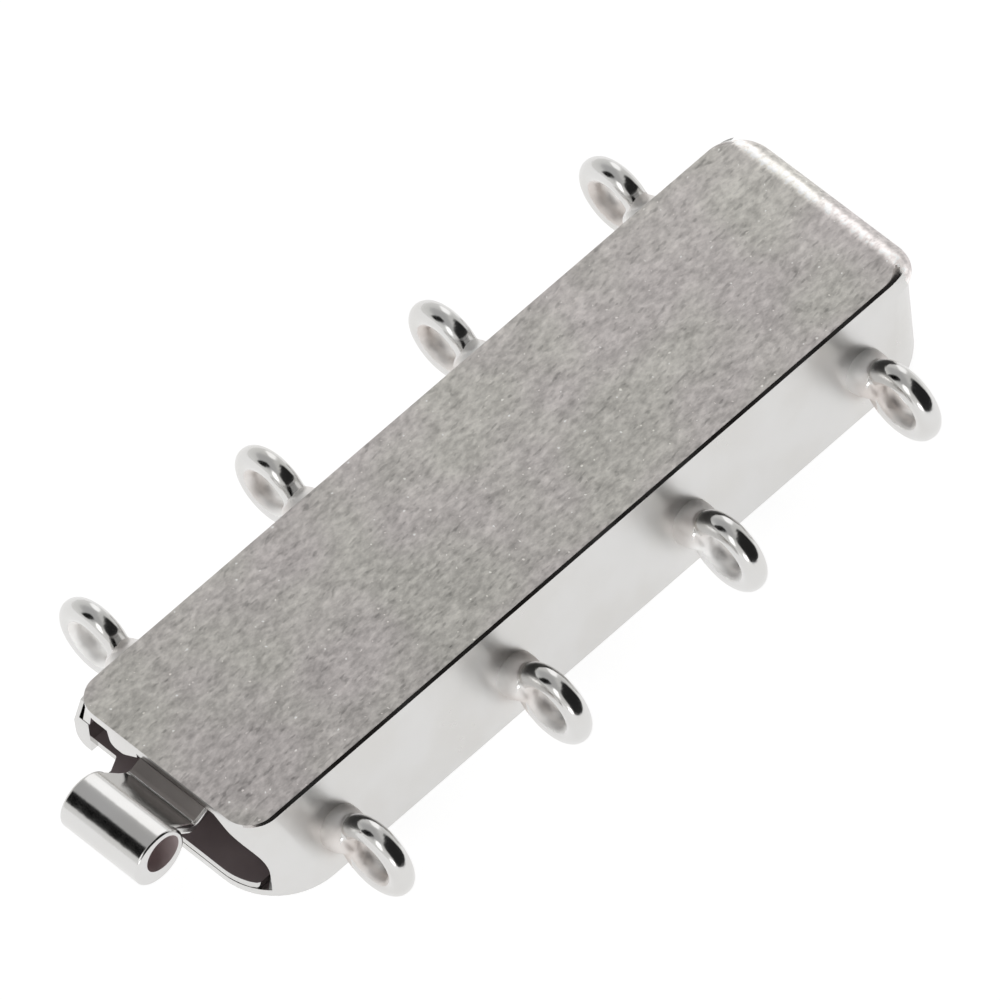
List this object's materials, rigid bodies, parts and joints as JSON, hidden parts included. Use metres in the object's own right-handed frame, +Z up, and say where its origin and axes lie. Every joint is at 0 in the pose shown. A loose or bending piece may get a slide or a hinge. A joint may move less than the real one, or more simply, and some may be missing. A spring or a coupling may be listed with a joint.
{
  "type": "multi-strand box clasp",
  "caption": "Long box clasp for a multi-strand bracelet or necklace, with a flat matte top, flared polished sides, soldered side rings and a spring tongue with a rolled finger tab.",
  "frame": {"origin": "middle of the base, under the middle of the top plate", "axes": "+X is the way the insert pulls out, along the length; +Y is the side with the box's own rings; +Z is up, out of the top plate"},
  "size_m": [0.0337, 0.0156, 0.0044],
  "materials": {
    "box_silver": "silver, the top plate matte with fine short streaks along its length, the sides satin and the rings polished",
    "insert_silver": "mirror-polished silver",
    "tongue_silver": "mirror-polished silver, rolled into a finger tab"
  },
  "bodies": {
    "case": {"box": "box_silver"},
    "slider": {"insert": "insert_silver"},
    "spring": {"tongue": "tongue_silver"}
  },
  "joints": [
    {"name": "insert_slide", "type": "slide", "parent": "case", "child": "slider", "axis": [1, 0, 0], "range_m": [0, 0.033]},
    {"name": "tab_press", "type": "hinge", "parent": "slider", "child": "spring", "pos_m": [-0.005, 0.0002, 0.0008], "axis": [0, 1, 0], "range_deg": [0, 2.4], "stiffness_Nm_per_rad": 0.2, "springref_deg": -1.15}
  ]
}
